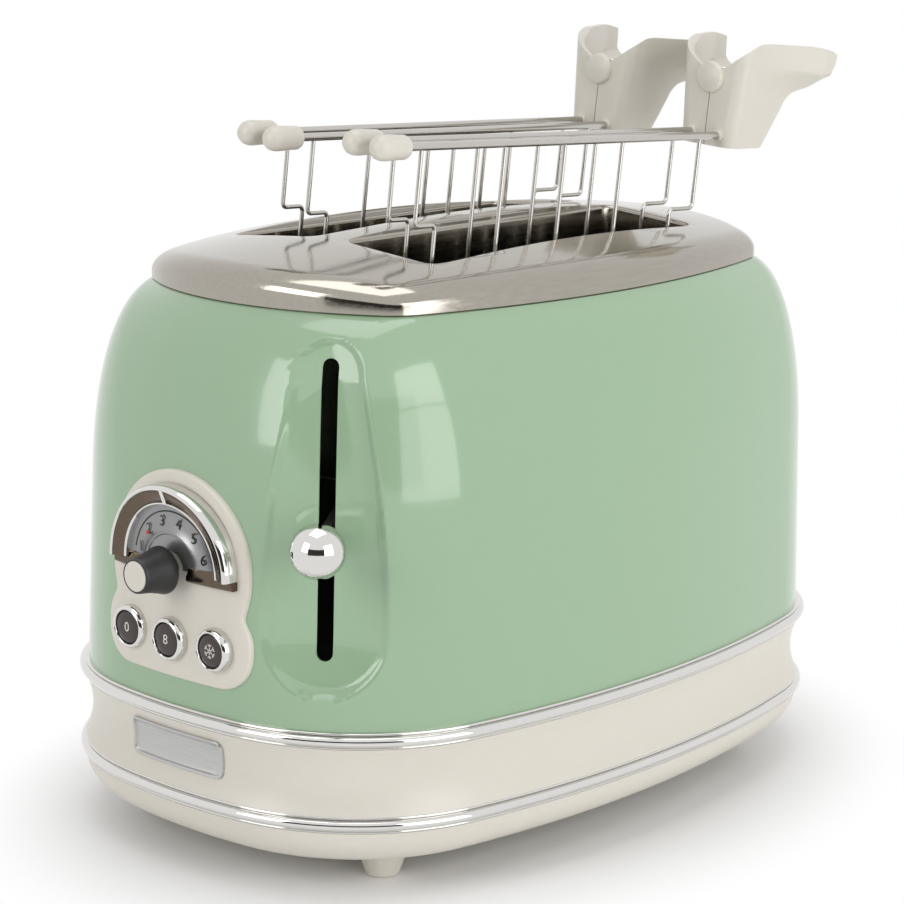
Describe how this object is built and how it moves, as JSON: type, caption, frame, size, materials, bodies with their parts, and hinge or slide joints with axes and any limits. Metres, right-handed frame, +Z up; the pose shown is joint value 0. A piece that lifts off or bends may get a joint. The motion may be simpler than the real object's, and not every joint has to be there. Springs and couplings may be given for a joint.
{
  "type": "toaster",
  "caption": "Retro two-slot toaster with a green enamelled shell, cream band and base between bright trim rings, dial, push buttons, ball lever and lift-out sandwich tongs.",
  "frame": {"origin": "on the table, in the plane of the feet, under the middle of the casing", "axes": "+X along the bread slots, away from the control end; +Y towards the back, away from the lever corner; +Z up"},
  "size_m": [0.3278, 0.2082, 0.2889],
  "materials": {
    "cream_plastic": "gloss",
    "chromed_trim": "polished",
    "badge_metal": "satin",
    "green_enamel": "gloss",
    "polished_steel": "polished",
    "dial_grey": "satin",
    "black_plastic": "satin",
    "sheet_steel": "satin",
    "board_green": "satin",
    "screw_steel": "satin",
    "copper_winding": "satin",
    "button_brown": "gloss",
    "mica": "matte",
    "resistance_wire": "satin",
    "tong_steel": "polished"
  },
  "bodies": {
    "casing": {"base_tray": "cream_plastic", "lower_trim_ring": "chromed_trim", "cream_band": "cream_plastic", "badge_plate": "badge_metal", "upper_trim_ring": "chromed_trim", "outer_shell": "green_enamel", "top_plate": "polished_steel", "control_panel": "cream_plastic", "dial_plate": "dial_grey", "dial_bezel": "chromed_trim", "button_ring_left": "chromed_trim", "button_ring_middle": "chromed_trim", "button_ring_right": "chromed_trim", "browning_control": "sheet_steel", "circuit_board": "board_green", "chassis_plate": "sheet_steel", "chassis_screws": "screw_steel", "end_frame": "sheet_steel", "heat_shield": "sheet_steel", "element_board_front": "mica", "element_board_middle": "mica", "element_board_rear": "mica", "element_ribbon_front": "resistance_wire", "element_ribbon_middle": "resistance_wire", "element_ribbon_rear": "resistance_wire", "bread_cage_front": "screw_steel", "bread_cage_rear": "screw_steel", "guide_rod": "screw_steel", "return_spring": "screw_steel", "magnet_core": "sheet_steel", "magnet_coil": "copper_winding", "cord_gland": "black_plastic"},
    "lift_slider": {"carriage_sleeve": "black_plastic"},
    "carriage": {"carriage": "sheet_steel", "lever_ball": "chromed_trim", "bread_rest_front": "sheet_steel", "bread_rest_rear": "sheet_steel", "armature": "sheet_steel"},
    "knob": {"browning_knob": "black_plastic", "knob_cap": "cream_plastic", "knob_shaft": "sheet_steel"},
    "button_left": {"push_button_left": "button_brown"},
    "button_middle": {"push_button_middle": "button_brown"},
    "button_right": {"push_button_right": "button_brown"},
    "crumb_drawer": {"crumb_tray": "sheet_steel", "crumb_tray_front": "cream_plastic"},
    "front_tong": {"front_tong_wires_front": "tong_steel", "front_tong_cap_front": "cream_plastic", "front_tong_handle_front": "cream_plastic", "front_tong_spring": "screw_steel"},
    "front_tong_jaw": {"front_tong_wires_rear": "tong_steel", "front_tong_cap_rear": "cream_plastic", "front_tong_handle_rear": "cream_plastic"},
    "rear_tong": {"rear_tong_wires_front": "tong_steel", "rear_tong_cap_front": "cream_plastic", "rear_tong_handle_front": "cream_plastic", "rear_tong_spring": "screw_steel"},
    "rear_tong_jaw": {"rear_tong_wires_rear": "tong_steel", "rear_tong_cap_rear": "cream_plastic", "rear_tong_handle_rear": "cream_plastic"}
  },
  "joints": [
    {"name": "lever_lift", "type": "slide", "parent": "casing", "child": "lift_slider", "axis": [0, 0, 1], "range_m": [0, 0.053]},
    {"name": "carriage_slide", "type": "slide", "parent": "lift_slider", "child": "carriage", "axis": [0, 0, 1], "range_m": [-0.035, 0], "stiffness_N_per_m": 150, "springref_m": 0.02, "deforming": ["return_spring"]},
    {"name": "knob_turn", "type": "hinge", "parent": "casing", "child": "knob", "pos_m": [-0.165, 0, 0.1121], "axis": [-1, 0, 0], "range_deg": [-90, 90]},
    {"name": "crumb_tray_slide", "type": "slide", "parent": "casing", "child": "crumb_drawer", "axis": [1, 0, 0], "range_m": [0, 0.16]},
    {"name": "button_left_press", "type": "slide", "parent": "casing", "child": "button_left", "axis": [1, 0, 0], "range_m": [0, 0.002], "stiffness_N_per_m": 300, "springref_m": -0.002},
    {"name": "button_middle_press", "type": "slide", "parent": "casing", "child": "button_middle", "axis": [1, 0, 0], "range_m": [0, 0.002], "stiffness_N_per_m": 300, "springref_m": -0.002},
    {"name": "button_right_press", "type": "slide", "parent": "casing", "child": "button_right", "axis": [1, 0, 0], "range_m": [0, 0.002], "stiffness_N_per_m": 300, "springref_m": -0.002},
    {"name": "front_tong_lift", "type": "slide", "parent": "lift_slider", "child": "front_tong", "axis": [0, 0, 1], "range_m": [0, 0.15]},
    {"name": "front_tong_open", "type": "hinge", "parent": "front_tong", "child": "front_tong_jaw", "pos_m": [0.09306, -0.04604, 0.2728], "axis": [0.9987, -0.0295, -0.0424], "range_deg": [0, 4], "stiffness_Nm_per_rad": 0.3, "springref_deg": -11.46},
    {"name": "rear_tong_lift", "type": "slide", "parent": "lift_slider", "child": "rear_tong", "axis": [0, 0, 1], "range_m": [0, 0.15]},
    {"name": "rear_tong_open", "type": "hinge", "parent": "rear_tong", "child": "rear_tong_jaw", "pos_m": [0.10014, 0.01474, 0.27189], "axis": [0.9992, -0.0174, -0.0372], "range_deg": [0, 4], "stiffness_Nm_per_rad": 0.3, "springref_deg": -11.46}
  ]
}
